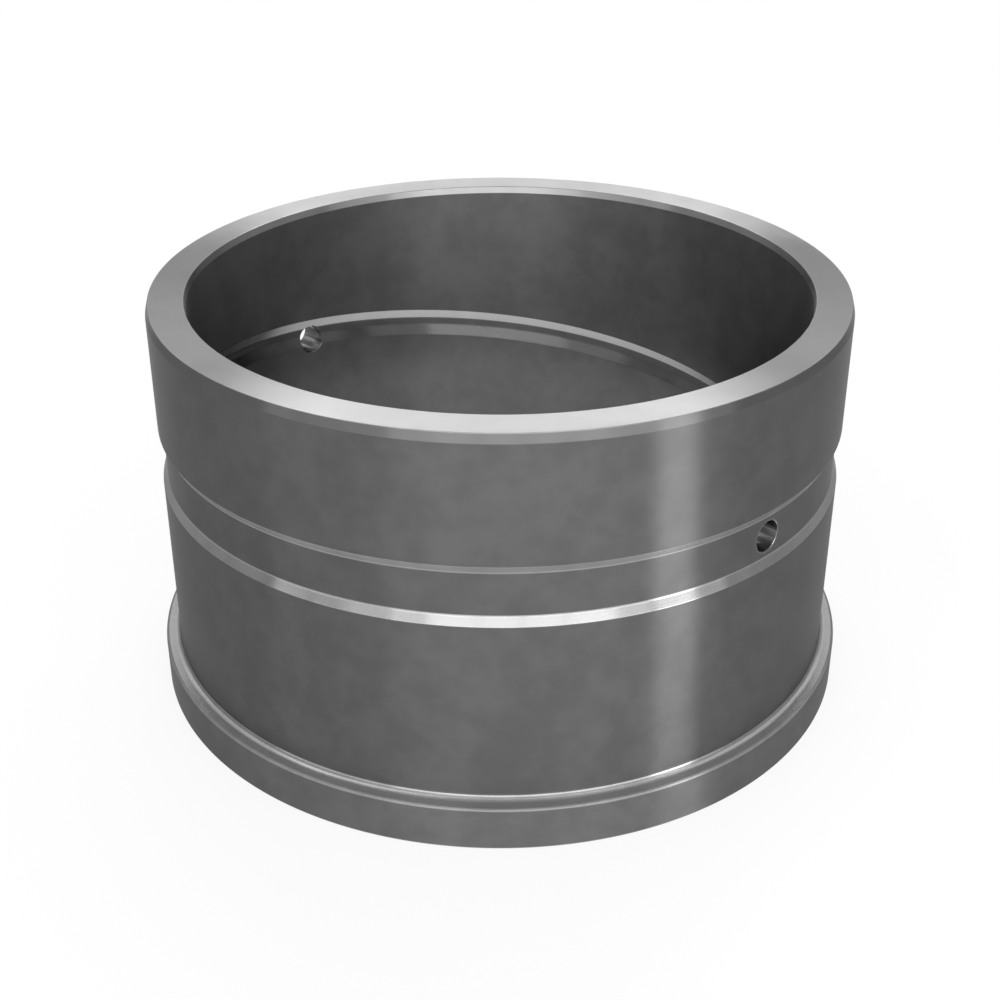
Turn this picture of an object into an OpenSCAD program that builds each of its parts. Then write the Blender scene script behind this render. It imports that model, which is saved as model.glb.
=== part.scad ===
// Flanged engine bushing, turned from one piece of steel.
// The flange is at the bottom, on z = 0, and the plain end that goes in first is at the top.
// Angles are counted from +X, anticlockwise as seen from above.

/* [Body] */
// Diameter of the bore
bore_d = 200; // [150:1:260]
// Thickness of the wall between the bore and the pressed outside face
wall = 12.5; // [9:0.5:20]
// Overall length, flange included
length = 135; // [115:1:220]

/* [Flange] */
// Height of the flange's shoulder, measured out from the body
shoulder_h = 5; // [3.5:0.5:12]
// Thickness of the flange along the axis
flange_t = 15; // [8:0.5:25]
// Radius of the fillet between the body and the shoulder
root_r = 2; // [0.5:0.25:2.25]
// Radius of the flange's two rounded edges
rim_edge_r = 1; // [0.25:0.25:1.25]

/* [Chamfers] */
// Length of the lead-in on the outside of the plain end
lead_in_l = 3; // [1:0.5:6]
// Depth that the lead-in drops below the body
lead_in_drop = 0.8; // [0.4:0.1:2]
// Length of the chamfer at each end of the bore
bore_chamfer_l = 2.5; // [1:0.5:5]
// Depth that the bore chamfers open into the wall
bore_chamfer_h = 0.5; // [0.3:0.1:1.5]

/* [Outside groove] */
// Distance from the plain end to the middle of the groove
ring_from_end = 50; // [30:1:80]
// Width of the groove's floor
ring_floor_w = 14; // [8:1:20]
// Depth of the groove below the body
ring_depth = 1.6; // [0.8:0.1:3]
// Angle between the groove's sides and the axis
ring_side_angle = 30; // [20:1:75]

/* [Grease groove in the bore] */
// Width of the groove where it opens into the bore
spiral_mouth_w = 10.4; // [6:0.2:14]
// Width of the groove's floor
spiral_floor_w = 2.4; // [1:0.2:5]
// Depth of the groove below the bore
spiral_depth = 1.6; // [0.8:0.1:3]
// Climb of the groove in one turn
spiral_lead = 75; // [50:1:90]
// Turns that the groove makes
spiral_turns = 1; // [0.5:0.05:1.1]
// Angle at which the groove passes the middle of the length
spiral_mid_angle = 38; // [0:1:90]
// Angle over which each end of the groove fades out
spiral_fade_angle = 12; // [4:1:30]

/* [Grease holes] */
// Diameter of the two holes
hole_d = 10; // [6:0.5:13]
// Angle of the diameter that both holes are drilled along
hole_angle = 135; // [95:1:175]

/* [Hidden] */
$fn = 180;
// Distance that every cutter runs past the face it starts from
overrun = 1;
// Steps in one turn of the spiral cutter
steps_per_turn = 120;

bore_r = bore_d / 2;
body_r = bore_r + wall;
flange_r = body_r + shoulder_h;
hole_z = length - ring_from_end;

ring_side_w = ring_depth / tan(ring_side_angle);
spiral_slope = (spiral_mouth_w - spiral_floor_w) / 2 / spiral_depth;
spiral_angle = 360 * spiral_turns;
spiral_steps = ceil(steps_per_turn * spiral_turns);

// Body from the bottom face to the plain end, with the lead-in at the top
module body_section() {
    polygon([
        [0, 0],
        [body_r, 0],
        [body_r, length - lead_in_l],
        [body_r - lead_in_drop, length],
        [0, length]
    ]);
}

// Flange with its two edges rounded
module flange_section() {
    square([flange_r - rim_edge_r, flange_t]);
    translate([0, rim_edge_r])
        square([flange_r, flange_t - 2 * rim_edge_r]);
    for (edge_z = [rim_edge_r, flange_t - rim_edge_r])
        translate([flange_r - rim_edge_r, edge_z])
            circle(r = rim_edge_r);
}

// Concave fillet in the corner between the body and the shoulder
module root_fillet_section() {
    translate([body_r, flange_t])
        difference() {
            square(root_r);
            translate([root_r, root_r])
                circle(r = root_r);
        }
}

// Flat-bottomed groove round the outside, with sloped sides
module ring_groove_section() {
    mouth_half = ring_floor_w / 2 + ring_side_w;
    over_half = mouth_half + overrun / tan(ring_side_angle);
    translate([body_r, hole_z])
        polygon([
            [-ring_depth, -ring_floor_w / 2],
            [overrun, -over_half],
            [overrun, over_half],
            [-ring_depth, ring_floor_w / 2]
        ]);
}

// Bore with the same chamfer at both ends
module bore_section() {
    chamfer_slope = bore_chamfer_h / bore_chamfer_l;
    mouth_r = bore_r + bore_chamfer_h + overrun * chamfer_slope;
    polygon([
        [0, -overrun],
        [mouth_r, -overrun],
        [bore_r, bore_chamfer_l],
        [bore_r, length - bore_chamfer_l],
        [mouth_r, length + overrun],
        [0, length + overrun]
    ]);
}

// Whole turned shape, before the spiral and the holes are cut
module turned_blank() {
    rotate_extrude()
        difference() {
            union() {
                body_section();
                flange_section();
                root_fillet_section();
            }
            ring_groove_section();
            bore_section();
        }
}

// Cutter's outline at full depth: distance out from the bore, and height
spiral_outline = [
    [-overrun, -spiral_mouth_w / 2 - overrun * spiral_slope],
    [spiral_depth, -spiral_floor_w / 2],
    [spiral_depth, spiral_floor_w / 2],
    [-overrun, spiral_mouth_w / 2 + overrun * spiral_slope]
];

// Share of full depth at a point of the groove, where along runs from 0 to 1
function fade_share(along) =
    min(1, min(along, 1 - along) * spiral_angle / spiral_fade_angle);

// Corners of the cutter's outline at one step along the spiral
function spiral_corners(step) =
    let (
        along = step / spiral_steps,
        angle = spiral_mid_angle + (along - 1 / 2) * spiral_angle,
        middle_z = length / 2 + (along - 1 / 2) * spiral_lead * spiral_turns,
        lift = (1 - fade_share(along)) * (spiral_depth + overrun / 2)
    )
    [for (corner = spiral_outline)
        let (r = bore_r + corner[0] - lift)
        [r * cos(angle), r * sin(angle), middle_z + corner[1]]];

// Spiral grease groove that climbs once round the bore and fades out at both ends
module spiral_cutter() {
    count = len(spiral_outline);
    corners = [for (step = [0:spiral_steps], corner = spiral_corners(step)) corner];
    sides = [for (step = [0:spiral_steps - 1], side = [0:count - 1])
        let (
            here = step * count,
            next = here + count,
            other = (side + 1) % count
        )
        [here + side, here + other, next + other, next + side]];
    first_end = [for (side = [count - 1:-1:0]) side];
    last_end = [for (side = [0:count - 1]) spiral_steps * count + side];
    polyhedron(points = corners, faces = concat(sides, [first_end, last_end]), convexity = 4);
}

// One drilling right across the bushing makes both holes
module grease_holes() {
    drilled_l = 2 * (body_r + overrun);
    translate([0, 0, hole_z])
        rotate([0, 90, hole_angle])
            cylinder(d = hole_d, h = drilled_l, center = true);
}

module bushing() {
    color("gray")
        difference() {
            turned_blank();
            spiral_cutter();
            grease_holes();
        }
}

bushing();
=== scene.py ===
"""A flanged steel bushing on a pale floor, in soft studio light."""
import math

import bpy
import numpy as np
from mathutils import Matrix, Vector
from mathutils.bvhtree import BVHTree


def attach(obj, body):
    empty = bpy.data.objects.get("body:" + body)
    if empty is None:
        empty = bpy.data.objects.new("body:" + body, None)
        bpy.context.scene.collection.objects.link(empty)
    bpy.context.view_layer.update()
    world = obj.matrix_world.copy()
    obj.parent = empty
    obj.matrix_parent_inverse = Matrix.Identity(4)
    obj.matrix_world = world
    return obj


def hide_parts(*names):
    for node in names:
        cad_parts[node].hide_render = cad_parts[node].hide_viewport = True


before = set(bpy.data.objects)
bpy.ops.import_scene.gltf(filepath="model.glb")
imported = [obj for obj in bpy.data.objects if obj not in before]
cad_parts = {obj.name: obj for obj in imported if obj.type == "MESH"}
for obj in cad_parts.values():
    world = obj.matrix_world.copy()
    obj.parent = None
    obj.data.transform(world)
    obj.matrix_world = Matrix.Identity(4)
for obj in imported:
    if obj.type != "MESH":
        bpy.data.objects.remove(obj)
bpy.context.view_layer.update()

MM = 0.001
FULL_TURN = 2 * math.pi

# Sizes of the bushing, which repeat the CAD model's
BORE_R = 100 * MM
BODY_R = 112.5 * MM
FLANGE_R = 117.5 * MM
LENGTH = 135 * MM
FLANGE_T = 15 * MM
ROOT_R = 2 * MM
RIM_EDGE_R = 1 * MM
LEAD_IN_L = 3 * MM
LEAD_IN_DROP = 0.8 * MM
CHAMFER_L = 2.5 * MM
CHAMFER_H = 0.5 * MM
RING_Z = 85 * MM
RING_FLOOR_W = 14 * MM
RING_DEPTH = 1.6 * MM
RING_SIDE_ANGLE = math.radians(30)
SPIRAL_MOUTH_W = 10.4 * MM
SPIRAL_FLOOR_W = 2.4 * MM
SPIRAL_DEPTH = 1.6 * MM
SPIRAL_LEAD = 75 * MM
SPIRAL_MID_ANGLE = math.radians(38)
SPIRAL_FADE_ANGLE = math.radians(12)
SPIRAL_RETRACT = 0.5 * MM
HOLE_R = 5 * MM
HOLE_ANGLE = math.radians(135)

# How far each edge break or corner radius reaches along its two sides
EDGE = 0.25 * MM
SOFT = 0.5 * MM
HOLE_BREAK = 0.2 * MM

# Fineness of the mesh, and the decimals to which heights on its seam are compared
COLUMNS = 480
LONGEST_ROW = 6 * MM
BORE_ROWS = 8
HOLE_SIDES = 96
SEAM_DIGITS = 7


def corner_arc(before, corner, after, reach, steps):
    """Points and normals of the arc that rounds one corner of a section, from before to after."""
    straight = 1e-6
    way_in = (corner - before) / np.linalg.norm(corner - before)
    way_out = (after - corner) / np.linalg.norm(after - corner)
    turn = math.acos(float(np.clip(way_in @ way_out, -1, 1)))
    start, end = corner - way_in * reach, corner + way_out * reach
    weight = math.cos(turn / 2)
    places, normals = [], []
    for t in np.linspace(0, 1, steps + 1):
        parts = np.array([(1 - t) ** 2, 2 * t * (1 - t) * weight, t ** 2])
        places.append((parts[0] * start + parts[1] * corner + parts[2] * end) / parts.sum())
        along = way_in
        if turn > straight:
            along = math.sin((1 - t) * turn) * way_in + math.sin(t * turn) * way_out
        along = along / np.linalg.norm(along)
        normals.append([along[1], -along[0]])
    return places, normals


def section(corners):
    """Rounds the corners (r, z, reach, steps) of an open section and splits its long straight rows."""
    spots = [np.array(c[:2], float) for c in corners]
    places, normals = [], []
    for i in range(1, len(corners) - 1):
        arc, arc_normals = corner_arc(spots[i - 1], spots[i], spots[i + 1], *corners[i][2:])
        if places:
            gap = arc[0] - places[-1]
            rows = math.ceil(np.linalg.norm(gap) / LONGEST_ROW)
            for k in range(1, rows):
                places.append(places[-1] + gap / rows)
                normals.append(arc_normals[0])
        places += arc
        normals += arc_normals
    return np.array(places), np.array(normals)


def outer_section():
    """Everything but the bore's wall, from its lower end round the outside to its upper end."""
    side_w = RING_DEPTH / math.tan(RING_SIDE_ANGLE)
    mouth, floor = RING_FLOOR_W / 2 + side_w, RING_FLOOR_W / 2
    return section([
        (BORE_R, LENGTH / 2, 0, 1),
        (BORE_R, CHAMFER_L, EDGE, 2),
        (BORE_R + CHAMFER_H, 0, EDGE, 4),
        (FLANGE_R, 0, RIM_EDGE_R, 8),
        (FLANGE_R, FLANGE_T, RIM_EDGE_R, 8),
        (BODY_R, FLANGE_T, ROOT_R, 12),
        (BODY_R, RING_Z - mouth, EDGE, 3),
        (BODY_R - RING_DEPTH, RING_Z - floor, SOFT, 4),
        (BODY_R - RING_DEPTH, RING_Z + floor, SOFT, 4),
        (BODY_R, RING_Z + mouth, EDGE, 3),
        (BODY_R, LENGTH - LEAD_IN_L, EDGE, 3),
        (BODY_R - LEAD_IN_DROP, LENGTH, EDGE, 4),
        (BORE_R + CHAMFER_H, LENGTH, EDGE, 4),
        (BORE_R, LENGTH - CHAMFER_L, EDGE, 2),
        (BORE_R, LENGTH / 2, 0, 1),
    ])


def bore_column(turned, top_z, low_z):
    """Places and normals down the bore's wall where the spiral has turned this far from its low end."""
    fade = min(1, min(turned, FULL_TURN - turned) / SPIRAL_FADE_ANGLE)
    depth = max(0, SPIRAL_DEPTH - (1 - fade) * (SPIRAL_DEPTH + SPIRAL_RETRACT))
    slope = (SPIRAL_MOUTH_W - SPIRAL_FLOOR_W) / 2 / SPIRAL_DEPTH
    side = max(depth * slope, SOFT)
    middle = LENGTH / 2 + (turned / FULL_TURN - 0.5) * SPIRAL_LEAD
    mouth, floor = SPIRAL_FLOOR_W / 2 + side, SPIRAL_FLOOR_W / 2
    widest_reach_share = 0.4
    reach = min(SOFT, side * widest_reach_share)
    corners = [
        ((BORE_R, middle + mouth), EDGE * reach / SOFT),
        ((BORE_R + depth, middle + floor), reach),
        ((BORE_R + depth, middle - floor), reach),
        ((BORE_R, middle - mouth), EDGE * reach / SOFT),
    ]
    spots = [np.array(spot) for spot in [(BORE_R, top_z)] + [c[0] for c in corners] + [(BORE_R, low_z)]]
    groove, along = [], []
    arc_steps = 3
    for i, (_, size) in enumerate(corners, 1):
        arc, normals = corner_arc(spots[i - 1], spots[i], spots[i + 1], size, arc_steps)
        groove += arc
        along += normals
    above = [spots[0] + (groove[0] - spots[0]) * k / BORE_ROWS for k in range(BORE_ROWS)]
    below = [groove[-1] + (spots[-1] - groove[-1]) * k / BORE_ROWS for k in range(1, BORE_ROWS + 1)]
    wall = [[-1, 0]]
    return np.array(above + groove + below), np.array(wall * BORE_ROWS + along + wall * BORE_ROWS)


def at_angle(places, angle):
    """Turns (r, z) pairs into points at an angle round the axis."""
    radii, heights = np.asarray(places).T
    return np.column_stack([radii * math.cos(angle), radii * math.sin(angle), heights])


def spin(vectors, angle):
    """Turns vectors about the axis."""
    x, y, z = vectors.T
    return np.column_stack([
        x * math.cos(angle) - y * math.sin(angle),
        x * math.sin(angle) + y * math.cos(angle),
        z,
    ])


def seam_heights(low_end, high_end):
    """Heights, from the top down, of every point that the two ends of the bore's wall have on their seam."""
    heights = np.concatenate([low_end[1:-1, 1], high_end[1:-1, 1]])
    return np.unique(np.round(heights, SEAM_DIGITS))[::-1]


def seam_faces(seam, column, heights, seam_first):
    """Faces between the seam and the column of vertices beside it, with more points on the seam's side."""
    faces = []
    near = 10 ** -SEAM_DIGITS / 10
    for i in range(len(heights) - 1):
        edge = [v for z, v in seam if heights[i + 1] - near <= z <= heights[i] + near]
        if seam_first:
            faces.append([edge[0], column[i], column[i + 1]] + edge[:0:-1])
        else:
            faces.append([column[i]] + edge + [column[i + 1]])
    return faces


def turned_mesh():
    """Vertices, faces and vertex normals of the whole bushing before its holes are drilled."""
    ring, ring_normals = outer_section()
    rows = len(ring)
    start = SPIRAL_MID_ANGLE - math.pi
    angles = [start + FULL_TURN * j / COLUMNS for j in range(COLUMNS)]
    verts = [at_angle(ring, a) for a in angles]
    normals = [at_angle(ring_normals, a) for a in angles]
    faces = [
        (j * rows + i, k * rows + i, k * rows + i + 1, j * rows + i + 1)
        for j in range(COLUMNS) for k in [(j + 1) % COLUMNS] for i in range(rows - 1)
    ]

    # The bore's wall: its columns follow the spiral, and meet themselves on one straight seam
    top_z, low_z = ring[-1][1], ring[0][1]
    columns = [bore_column(FULL_TURN * j / COLUMNS, top_z, low_z) for j in range(COLUMNS + 1)]
    seam_z = seam_heights(columns[0][0], columns[-1][0])
    count = len(verts) * rows
    seam = [(top_z, rows - 1)] + [(z, count + i) for i, z in enumerate(seam_z)] + [(low_z, 0)]
    verts.append(at_angle([(BORE_R, z) for z in seam_z], start))
    normals.append(at_angle([(-1, 0)] * len(seam_z), start))
    count += len(seam_z)
    inner = len(columns[0][0]) - 2
    index = {}
    for j in range(1, COLUMNS):
        places, flat = columns[j]
        ahead = at_angle(columns[j + 1][0], FULL_TURN / COLUMNS)
        behind = at_angle(columns[j - 1][0], -FULL_TURN / COLUMNS)
        down = np.column_stack([-flat[:, 1], np.zeros(len(flat)), flat[:, 0]])
        outward = np.cross(ahead - behind, down)
        outward /= np.linalg.norm(outward, axis=1)[:, None]
        verts.append(at_angle(places[1:-1], angles[j]))
        normals.append(spin(outward, angles[j])[1:-1])
        index[j] = [j * rows + rows - 1] + list(range(count, count + inner)) + [j * rows]
        count += inner
    for j in range(1, COLUMNS - 1):
        here, beside = index[j], index[j + 1]
        faces += [(here[i], beside[i], beside[i + 1], here[i + 1]) for i in range(len(here) - 1)]
    for j, own, seam_first in ((1, 0, True), (COLUMNS - 1, COLUMNS, False)):
        heights = np.round(columns[own][0][:, 1], SEAM_DIGITS)
        heights[0], heights[-1] = top_z, low_z
        faces += seam_faces(seam, index[j], heights, seam_first)
    return np.concatenate(verts), faces, np.concatenate(normals)


def new_object(name, verts, faces):
    """Links an object with a mesh of these vertices and faces to the scene."""
    mesh = bpy.data.meshes.new(name)
    mesh.from_pydata([tuple(v) for v in verts], [], faces)
    mesh.update()
    obj = bpy.data.objects.new(name, mesh)
    bpy.context.scene.collection.objects.link(obj)
    return obj


def hole_cutter(direction):
    """Spool that drills one grease hole and breaks its edges in the bore and in the outside groove."""
    flare = 3 * MM
    inside, outside = BORE_R, BODY_R - RING_DEPTH
    spool = [
        (0, inside - flare),
        (HOLE_R + flare + HOLE_BREAK, inside - flare),
        (HOLE_R, inside + HOLE_BREAK),
        (HOLE_R, outside - HOLE_BREAK),
        (HOLE_R + flare + HOLE_BREAK, outside + flare),
        (0, outside + flare),
    ]
    along = np.array([math.cos(direction), math.sin(direction), 0])
    across = np.array([-math.sin(direction), math.cos(direction), 0])
    up = np.array([0, 0, 1])
    centre = np.array([0, 0, RING_Z])
    verts = [centre + along * spool[0][1]]
    for radius, far in spool[1:-1]:
        for k in range(HOLE_SIDES):
            a = FULL_TURN * k / HOLE_SIDES
            verts.append(centre + along * far + radius * (across * math.cos(a) + up * math.sin(a)))
    verts.append(centre + along * spool[-1][1])
    faces = []
    last_ring = len(spool) - 3
    for k in range(HOLE_SIDES):
        n = (k + 1) % HOLE_SIDES
        faces.append((0, 1 + n, 1 + k))
        for ring in range(last_ring):
            base = 1 + ring * HOLE_SIDES
            faces.append((base + k, base + n, base + HOLE_SIDES + n, base + HOLE_SIDES + k))
        base = 1 + last_ring * HOLE_SIDES
        faces.append((base + k, base + n, len(verts) - 1))
    return verts, faces


def drill(obj):
    """Cuts the two grease holes and returns the finished mesh."""
    for direction in (HOLE_ANGLE, HOLE_ANGLE + math.pi):
        cutter = new_object("cutter", *hole_cutter(direction))
        cut = obj.modifiers.new("hole", "BOOLEAN")
        cut.operation, cut.solver, cut.object = "DIFFERENCE", "EXACT", cutter
        graph = bpy.context.evaluated_depsgraph_get()
        mesh = bpy.data.meshes.new_from_object(obj.evaluated_get(graph))
        obj.modifiers.clear()
        obj.data = mesh
        bpy.data.objects.remove(cutter)
    return obj.data


def in_hole(face, axis, centre):
    """Whether a face is on a hole's wall or edge break, and not on the turned surface beside it."""
    middle = np.array(face.center) - centre
    off_line = np.linalg.norm(middle - axis * (middle @ axis))
    turned_least = 0.85
    return off_line < HOLE_R + HOLE_BREAK * 2 and abs(np.array(face.normal) @ axis) < turned_least


def set_normals(mesh, verts, faces, normals):
    """Gives every corner the true normal of the turned surface, or of the hole that it is on."""
    tree = BVHTree.FromPolygons([Vector(v) for v in verts], faces)
    axis = np.array([math.cos(HOLE_ANGLE), math.sin(HOLE_ANGLE), 0])
    centre = np.array([0, 0, RING_Z])
    nearest_gap = 1e-9
    corner_normals = []
    cache = {}
    for face in mesh.polygons:
        drilled = in_hole(face, axis, centre)
        for vertex in face.vertices:
            place = mesh.vertices[vertex].co
            if drilled:
                spoke = np.array(place) - centre
                spoke -= axis * (spoke @ axis)
                tilt = np.array(face.normal) @ axis
                flat = -spoke / np.linalg.norm(spoke) * math.sqrt(1 - tilt * tilt)
                corner_normals.append(tuple(flat + axis * tilt))
                continue
            if vertex not in cache:
                _, _, found, _ = tree.find_nearest(place)
                own = faces[found]
                gaps = [max((Vector(verts[v]) - place).length, nearest_gap) for v in own]
                total = sum(normals[v] / g for v, g in zip(own, gaps))
                cache[vertex] = tuple(total / np.linalg.norm(total))
            corner_normals.append(cache[vertex])
    for face in mesh.polygons:
        face.use_smooth = True
    mesh.normals_split_custom_set(corner_normals)


def make_bushing():
    """The whole bushing as one closed mesh, which stands for its CAD node."""
    verts, faces, normals = turned_mesh()
    obj = new_object("turned_bushing", verts, faces)
    set_normals(drill(obj), verts, faces, normals)
    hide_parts("bushing")
    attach(obj, "root")
    return obj


class Nodes:
    """Short calls for building one node tree."""

    def __init__(self, tree):
        self.tree = tree
        tree.nodes.clear()

    def add(self, kind, settings=None, **sockets):
        """Adds a node with its settings, and with values or links on its sockets."""
        node = self.tree.nodes.new(kind)
        for name, value in (settings or {}).items():
            setattr(node, name, value)
        for name, value in sockets.items():
            self.plug(node.inputs[name.replace("_", " ")], value)
        return node

    def plug(self, socket, value):
        if isinstance(value, bpy.types.NodeSocket):
            self.tree.links.new(value, socket)
        else:
            socket.default_value = value

    def math(self, operation, *values):
        node = self.tree.nodes.new("ShaderNodeMath")
        node.operation = operation
        for socket, value in zip(node.inputs, values):
            self.plug(socket, value)
        return node.outputs[0]

    def ramp(self, value, low, high, to_low=0.0, to_high=1.0):
        """Smooth step of value from low to high."""
        node = self.tree.nodes.new("ShaderNodeMapRange")
        node.interpolation_type = "SMOOTHSTEP"
        for socket, part in zip(node.inputs, (value, low, high, to_low, to_high)):
            self.plug(socket, part)
        return node.outputs[0]

    def mix(self, share, low, high):
        """Blend from low to high."""
        node = self.tree.nodes.new("ShaderNodeMix")
        for name, value in zip(("Factor", "A", "B"), (share, low, high)):
            self.plug(node.inputs[name], value)
        return node.outputs[0]

    def times(self, first, second):
        return self.math("MULTIPLY", first, second)

    def distance(self, first, second):
        """Length of the diagonal of two sides."""
        return self.math("SQRT", self.math("ADD", self.times(first, first), self.times(second, second)))

    def noise(self, vector, scale, detail, roughness):
        sockets = {"Scale": scale, "Detail": detail, "Roughness": roughness}
        return self.add("ShaderNodeTexNoise", Vector=vector, **sockets).outputs["Fac"]


# Grey levels of the steel's colour, by surface. Besides the steel's own finish they hold painted light and
# painted shade: dark upright cylinders and light level faces and edge rounds, a bore painted lighter low
# down, groove sides painted lighter where they face down than where they face up, and a lighter upper bore
# chamfer
WALL_LEVEL = 0.09
FLANGE_SIDE_LEVEL = 0.11
RIM_EDGE_LEVEL = 0.24
# Bore: painted light makes it lighter low down
BORE_LOW_PAINTED_LIGHT_LEVEL = 0.20
BORE_HIGH_LEVEL = 0.108
FACE_LEVEL = 0.40
LEAD_IN_LEVEL = 0.115
# Painted light on the chamfer at the bore's upper mouth; the lower chamfer and the spiral's edges take the
# spiral edge level
BORE_MOUTH_PAINTED_LIGHT_LEVEL = 0.34
SPIRAL_EDGE_LEVEL = 0.15
OUTER_HOLE_LEVEL = 0.14
INNER_HOLE_LEVEL = 0.30
# Groove sides: painted lighter on the upper sides, which face down, and darker on the lower sides, which
# face up
RING_LOWER_SIDE_PAINTED_SHADE_LEVEL = 0.28
RING_UPPER_SIDE_PAINTED_LIGHT_LEVEL = 0.41
SPIRAL_LOWER_SIDE_PAINTED_SHADE_LEVEL = 0.15
SPIRAL_UPPER_SIDE_PAINTED_LIGHT_LEVEL = 0.55

# Roughness of the surfaces, and how much the clouding adds to it
GROUND_ROUGHNESS = 0.34
FACE_ROUGHNESS = 0.26
RING_SIDE_ROUGHNESS = 0.19
SPIRAL_SIDE_ROUGHNESS = 0.24
FLANGE_FACE_ROUGHNESS = 0.18
CLOUD_ROUGHNESS = 0.08

# How far the clouding lightens and darkens ground surfaces and turned faces
GROUND_CONTRAST = 0.09
FACE_CONTRAST = 0.035


class Surfaces:
    """Sockets for a point's place, and for which of the bushing's surfaces it is on, from 0 to 1.

    Lean is 0 on an upright surface and 1 on a level one. It is 0.2 on the bore's chamfer, 0.26 on the
    lead-in, 0.37 on the spiral groove's sides and 0.5 on the ring groove's.
    """

    def __init__(self, n):
        self.place = n.add("ShaderNodeTexCoord").outputs["Object"]
        x, y, z = n.add("ShaderNodeSeparateXYZ", Vector=self.place).outputs
        radius = n.distance(x, y)
        normal = n.add("ShaderNodeNewGeometry").outputs["Normal"]
        tilt = n.add("ShaderNodeSeparateXYZ", Vector=normal).outputs["Z"]
        lean = n.math("ABSOLUTE", tilt)
        self.z = z
        self.radius = radius
        self.angle = n.math("ARCTAN2", y, x)
        self.lean = lean

        self.flange = n.ramp(radius, BODY_R + 0.1 * MM, BODY_R + 0.5 * MM)
        beyond_face = n.ramp(radius, FLANGE_R - RIM_EDGE_R, FLANGE_R - RIM_EDGE_R * 0.8)
        self.rim = n.times(beyond_face, self.flange)
        self.body = n.math("SUBTRACT", 1.0, self.flange)
        self.inside = n.ramp(radius, BORE_R + 2 * MM, BORE_R + 5 * MM, 1.0, 0.0)
        self.lead_in = n.times(n.ramp(radius, BODY_R - 2 * MM, BODY_R - 1 * MM), n.ramp(lean, 0.35, 0.28))

        # Turned faces lean out of the upright; by the flange only its flat face counts as one
        face = n.mix(self.flange, n.ramp(lean, 0.08, 0.18), n.ramp(lean, 0.5, 0.9))
        self.face = n.mix(self.rim, face, 0.0)
        self.bore_edge = n.times(self.inside, n.ramp(lean, 0.8, 0.6))
        self.mouth = n.ramp(z, LENGTH - 10 * MM, LENGTH - 5 * MM)
        groove_side = n.times(n.ramp(lean, 0.30, 0.36), n.ramp(lean, 0.75, 0.60))
        self.groove_side = n.times(groove_side, self.body)
        self.overhang = n.ramp(tilt, -0.1, -0.3)

        # Grease holes: everything close to the line that both are drilled along
        across_x = n.times(x, math.sin(HOLE_ANGLE))
        across_y = n.times(y, -math.cos(HOLE_ANGLE))
        off_line = n.distance(n.math("ADD", across_x, across_y), n.math("SUBTRACT", z, RING_Z))
        self.hole = n.ramp(off_line, HOLE_R + 0.3 * MM, HOLE_R + 0.5 * MM, 1.0, 0.0)


def steel_level(n, on):
    """Grey of dark ground cylinders and lighter turned faces, partly their finish and partly painted shade
    and light, with painted light and shade on the groove sides, the bore and its upper chamfer.
    """
    # Upright cylinders are dark, and the flange's rounded rim grows lighter as it turns level: partly
    # finish, partly painted shade and painted light
    rim = n.ramp(on.lean, 0.1, 0.5, FLANGE_SIDE_LEVEL, RIM_EDGE_LEVEL)
    outside = n.mix(on.flange, WALL_LEVEL, n.mix(on.rim, FLANGE_SIDE_LEVEL, rim))
    # The bore is painted lighter low down, from its high level at 85 mm to its low level at 50 mm: painted
    # light that stands in for light from the pale floor under it
    bore = n.ramp(on.z, 50 * MM, 85 * MM, BORE_LOW_PAINTED_LIGHT_LEVEL, BORE_HIGH_LEVEL)
    ground = n.mix(on.inside, outside, bore)

    hole = n.mix(on.inside, OUTER_HOLE_LEVEL, INNER_HOLE_LEVEL)
    turned = n.mix(on.lead_in, n.mix(on.hole, FACE_LEVEL, hole), LEAD_IN_LEVEL)
    # The chamfer at the bore's upper mouth is painted lighter than the lower chamfer and the spiral's edge
    # rounds: painted light
    turned = n.mix(on.bore_edge, turned, n.mix(on.mouth, SPIRAL_EDGE_LEVEL, BORE_MOUTH_PAINTED_LIGHT_LEVEL))
    # Groove sides: painted light on the upper sides, which face down, and painted shade on the lower sides,
    # which face up
    shaded_lower_side = n.mix(on.inside, RING_LOWER_SIDE_PAINTED_SHADE_LEVEL, SPIRAL_LOWER_SIDE_PAINTED_SHADE_LEVEL)
    lit_upper_side = n.mix(on.inside, RING_UPPER_SIDE_PAINTED_LIGHT_LEVEL, SPIRAL_UPPER_SIDE_PAINTED_LIGHT_LEVEL)
    turned = n.mix(on.groove_side, turned, n.mix(on.overhang, shaded_lower_side, lit_upper_side))
    return n.mix(n.math("MAXIMUM", on.face, on.hole), ground, turned)


def steel_roughness(n, on, cloud):
    """Roughness of each kind of surface, a little higher where the clouding is light."""
    side = n.mix(on.inside, RING_SIDE_ROUGHNESS, SPIRAL_SIDE_ROUGHNESS)
    face = n.mix(on.flange, n.mix(on.groove_side, FACE_ROUGHNESS, side), FLANGE_FACE_ROUGHNESS)
    return n.math("ADD", n.mix(on.face, GROUND_ROUGHNESS, face), n.times(cloud, CLOUD_ROUGHNESS))


def clouding(n, place):
    """Soft patches of the ground and hardened surfaces, around a half."""
    clouds = n.noise(place, scale=75.0, detail=3.0, roughness=0.55)
    patches = n.noise(place, scale=200.0, detail=2.0, roughness=0.5)
    return n.math("ADD", n.times(clouds, 0.65), n.times(patches, 0.35))


def tool_lines(n, on):
    """Bump normal of the fine lines that turning leaves, which run round the axis."""
    lines_per_metre = 1800.0
    breaks_per_radian = 1.5
    rings = n.add("ShaderNodeCombineXYZ", X=n.times(on.radius, lines_per_metre),
                  Y=n.times(on.z, lines_per_metre), Z=n.times(on.angle, breaks_per_radian)).outputs[0]
    lines = n.noise(rings, scale=1.0, detail=2.0, roughness=0.6)
    return n.add("ShaderNodeBump", Strength=0.05, Distance=0.2 * MM, Height=lines).outputs[0]


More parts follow.
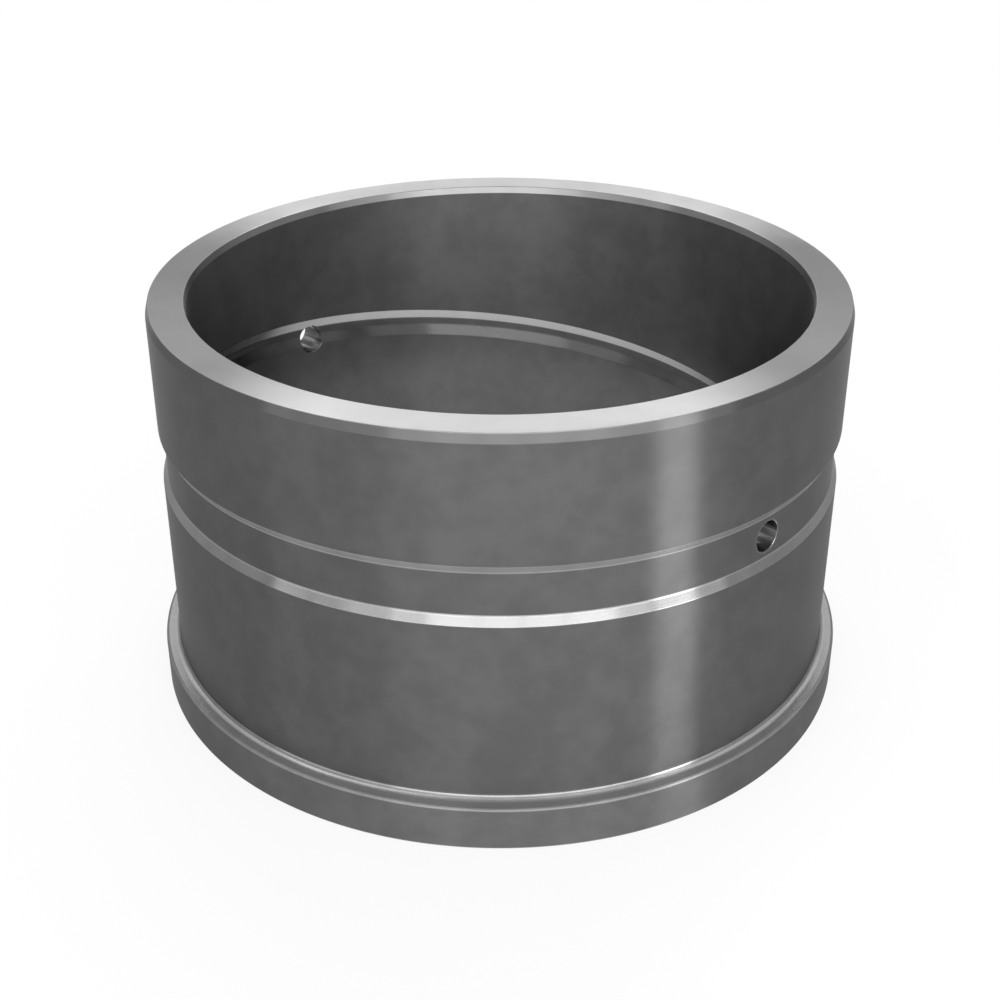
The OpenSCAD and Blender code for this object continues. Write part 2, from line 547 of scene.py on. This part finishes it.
def steel_material():
    """Steel with dark ground cylinders and lighter turned faces, partly finish and partly painted shade and
    light, soft clouding and fine tool lines.
    """
    material = bpy.data.materials.new("turned_steel")
    material.use_nodes = True
    n = Nodes(material.node_tree)
    on = Surfaces(n)
    cloud = clouding(n, on.place)
    contrast = n.mix(on.face, GROUND_CONTRAST, FACE_CONTRAST)
    darkest, lightest = n.math("SUBTRACT", 1.0, contrast), n.math("ADD", 1.0, contrast)
    grey = n.times(steel_level(n, on), n.ramp(cloud, 0.35, 0.65, darkest, lightest))
    colour = n.add("ShaderNodeCombineColor", Red=grey, Green=grey, Blue=grey).outputs[0]
    metallic = n.mix(n.times(on.face, on.body), 0.75, 1.0)
    tangent = n.add("ShaderNodeTangent", {"direction_type": "RADIAL", "axis": "Z"}).outputs[0]
    shader = n.add("ShaderNodeBsdfPrincipled", Base_Color=colour, Roughness=steel_roughness(n, on, cloud),
                   Normal=tool_lines(n, on), Tangent=tangent, Metallic=metallic,
                   Anisotropic=1.0, Anisotropic_Rotation=0.25,
                   Specular_IOR_Level=0.3, Specular_Tint=(0.55, 0.55, 0.55, 1))
    n.add("ShaderNodeOutputMaterial", Surface=shader.outputs[0])
    return material


# Floor, and the low backdrop at its far edges
FLOOR_HALF_WIDTH = 12.0
BACKDROP_HEIGHT = 1.0
FLOOR_DROP = 0.1 * MM
PAINT_LEVEL = 0.85
WORLD_LEVEL = 0.25

# Share of white glow over the paint: less near the bushing, where its shadow shows, and all of it far off
NEAR_GLOW_SHARE = 0.82
SHADOW_END = 0.4
GLOW_ONLY_FROM = 1.2


def make_floor():
    """Wide pale floor with a low upright backdrop all round it.

    Both show near white to the eye and to the steel, and the floor keeps the bushing's shadow.
    """
    half = FLOOR_HALF_WIDTH
    corners = [(-half, -half), (half, -half), (half, half), (-half, half)]
    verts = [(x, y, z) for z in (0, BACKDROP_HEIGHT) for x, y in corners]
    faces = [(0, 1, 2, 3)]
    for i in range(len(corners)):
        beside = (i + 1) % len(corners)
        faces.append((i, beside, beside + len(corners), i + len(corners)))
    floor = new_object("floor", verts, faces)
    floor.location.z = -FLOOR_DROP
    floor.data.materials.append(floor_material())


def floor_material():
    """Pale paint that takes shadows, with a white glow mixed in for the eye and for reflections."""
    material = bpy.data.materials.new("floor")
    material.use_nodes = True
    n = Nodes(material.node_tree)
    place = n.add("ShaderNodeTexCoord").outputs["Object"]
    away = n.add("ShaderNodeVectorMath", {"operation": "LENGTH"}, Vector=place).outputs["Value"]
    rays = n.add("ShaderNodeLightPath").outputs
    mirrored = n.math("MAXIMUM", rays["Is Glossy Ray"], rays["Is Transmission Ray"])
    seen = n.math("MAXIMUM", rays["Is Camera Ray"], mirrored)
    glow_share = n.times(seen, n.ramp(away, SHADOW_END, GLOW_ONLY_FROM, NEAR_GLOW_SHARE, 1.0))
    paint = n.add("ShaderNodeBsdfDiffuse", Color=(PAINT_LEVEL, PAINT_LEVEL, PAINT_LEVEL, 1)).outputs[0]
    glow = n.add("ShaderNodeEmission", Color=(1, 1, 1, 1), Strength=1.0).outputs[0]
    mixed = n.add("ShaderNodeMixShader", Fac=glow_share)
    n.plug(mixed.inputs[1], paint)
    n.plug(mixed.inputs[2], glow)
    n.add("ShaderNodeOutputMaterial", Surface=mixed.outputs[0])
    return material


def make_world():
    """Even grey light from all round."""
    world = bpy.data.worlds.new("studio")
    bpy.context.scene.world = world
    world.use_nodes = True
    n = Nodes(world.node_tree)
    sky = n.add("ShaderNodeBackground", Color=(WORLD_LEVEL, WORLD_LEVEL, WORLD_LEVEL, 1), Strength=1.0)
    n.add("ShaderNodeOutputWorld", Surface=sky.outputs[0])


# Distances of the lamps from the middle of the bushing, and their elevations in degrees
FAR = 1.5
NEAR = 0.3
LOW = 8
MIDDLE = 27
HIGH = 52

# Widths and heights of the lamps
PANEL = (0.32, 0.5)
KEY_PANEL = (1.5, 0.5)
WIDE_PANEL = (0.65, 0.5)
HIGH_PANEL = (1.2, 0.6)
LOW_PANEL = (0.75, 0.35)
STRIP = (0.06, 0.10)


def softbox(name, azimuth, elevation, size, strength, distance=FAR):
    """Area lamp that faces the bushing. Azimuth 0 is the viewer's side and 90 the viewer's right.

    Its strength is the brightness of its face, where 1 is white.
    """
    lamp = bpy.data.lights.new(name, "AREA")
    lamp.shape = "RECTANGLE"
    lamp.size, lamp.size_y = size
    lamp.energy = strength * lamp.size * lamp.size_y * math.pi
    obj = bpy.data.objects.new(name, lamp)
    bpy.context.scene.collection.objects.link(obj)
    a, e = math.radians(azimuth), math.radians(elevation)
    away = Vector((math.sin(a) * math.cos(e), -math.cos(a) * math.cos(e), math.sin(e)))
    obj.visible_camera = False
    obj.location = Vector((0, 0, LENGTH / 2)) + away * distance
    obj.rotation_euler = away.to_track_quat("Z", "Y").to_euler()


def make_lights():
    """A low bank of softboxes round the front, a key lamp over it, fills behind and a strip at the right."""
    for azimuth in (-65, -52, -39):
        softbox("left_bank", azimuth, LOW, PANEL, 1.8)
    for azimuth in (-26, -13, 0, 13, 26, 39):
        softbox("front_bank", azimuth, LOW, PANEL, 4.2)
    for azimuth in (52, 65):
        softbox("right_bank", azimuth, LOW, PANEL, 1.7)
    softbox("key", 7, MIDDLE, KEY_PANEL, 3.9)
    for azimuth in (-36, 50):
        softbox("key_wing", azimuth, MIDDLE, WIDE_PANEL, 1.1)
    for azimuth in (90, 120, 150, 180, 210, 240, 270):
        softbox("fill", azimuth, MIDDLE, WIDE_PANEL, 0.9)
    softbox("back_low", 180, 5, LOW_PANEL, 3.0)
    softbox("back_high", 180, HIGH, HIGH_PANEL, 4.6)
    softbox("left_high", -60, HIGH, HIGH_PANEL, 1.8)
    for azimuth in (60, 120, 240):
        softbox("side_high", azimuth, HIGH, HIGH_PANEL, 0.6)
    softbox("strip", 45, -3, STRIP, 9.0, NEAR)


# The photograph's view: how far the camera stands in front, how high, and how far it looks down
CAMERA_FRONT = 476.78 * MM
CAMERA_HEIGHT = 313.62 * MM
CAMERA_PITCH = math.radians(28.525)
LENS_MM = 56.356
SENSOR_MM = 36


def make_camera():
    """Camera at the photograph's place and angle."""
    camera = bpy.data.cameras.new("camera")
    camera.lens, camera.sensor_width = LENS_MM, SENSOR_MM
    obj = bpy.data.objects.new("camera", camera)
    bpy.context.scene.collection.objects.link(obj)
    obj.location = (0, -CAMERA_FRONT, CAMERA_HEIGHT)
    obj.rotation_euler = (math.pi / 2 - CAMERA_PITCH, 0, 0)
    bpy.context.scene.camera = obj


make_camera()
make_world()
make_lights()
make_floor()
make_bushing().data.materials.append(steel_material())
bpy.context.scene.view_settings.view_transform = "Standard"
